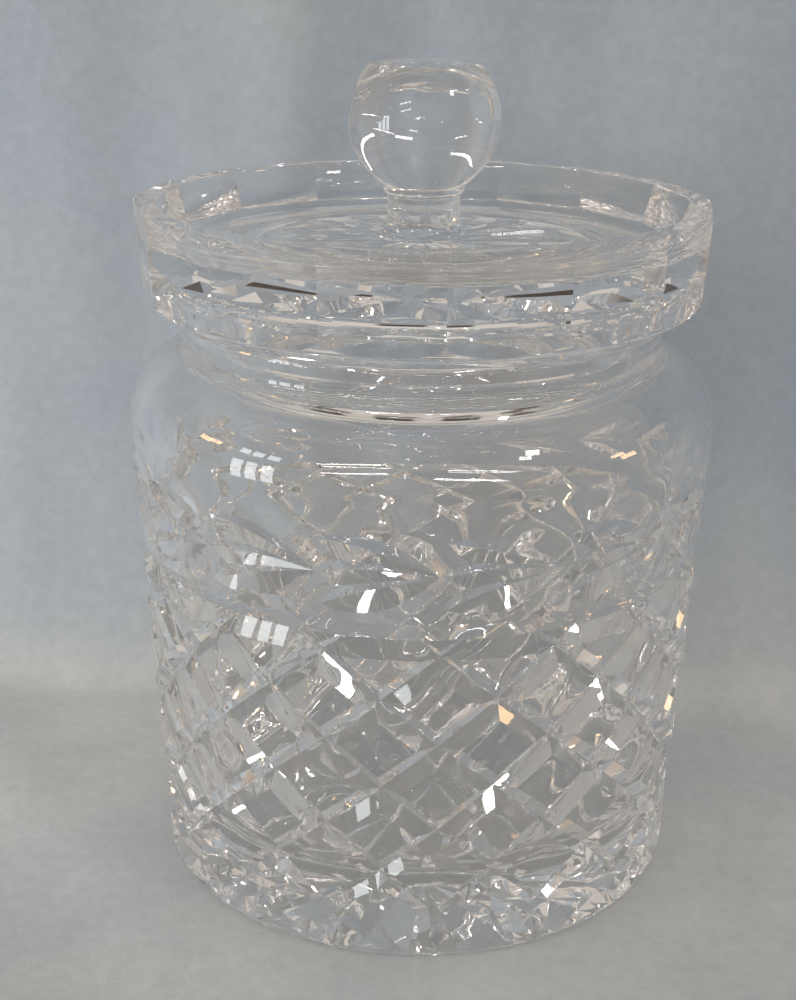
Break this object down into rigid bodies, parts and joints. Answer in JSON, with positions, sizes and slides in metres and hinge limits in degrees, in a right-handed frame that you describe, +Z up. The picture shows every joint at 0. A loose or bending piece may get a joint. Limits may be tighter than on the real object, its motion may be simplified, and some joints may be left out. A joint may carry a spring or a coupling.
{
  "type": "biscuit jar",
  "caption": "Cut-crystal biscuit jar: a round jar with a rounded shoulder and a dish-shaped lid that lifts off by a ball knob.",
  "frame": {"origin": "centre of the base, on the surface that the jar stands on", "axes": "+Z up along the jar's axis; -Y is the front, where one column of the cut pattern faces"},
  "size_m": [0.1296, 0.1296, 0.1796],
  "materials": {
    "crystal": "clear lead crystal, wheel cut and polished"
  },
  "bodies": {
    "jar": {"jar": "crystal"},
    "lid": {"lid": "crystal", "knob": "crystal"}
  },
  "joints": [
    {"name": "lid_lift", "type": "slide", "parent": "jar", "child": "lid", "axis": [0, 0, 1], "range_m": [0, 0.1]}
  ]
}
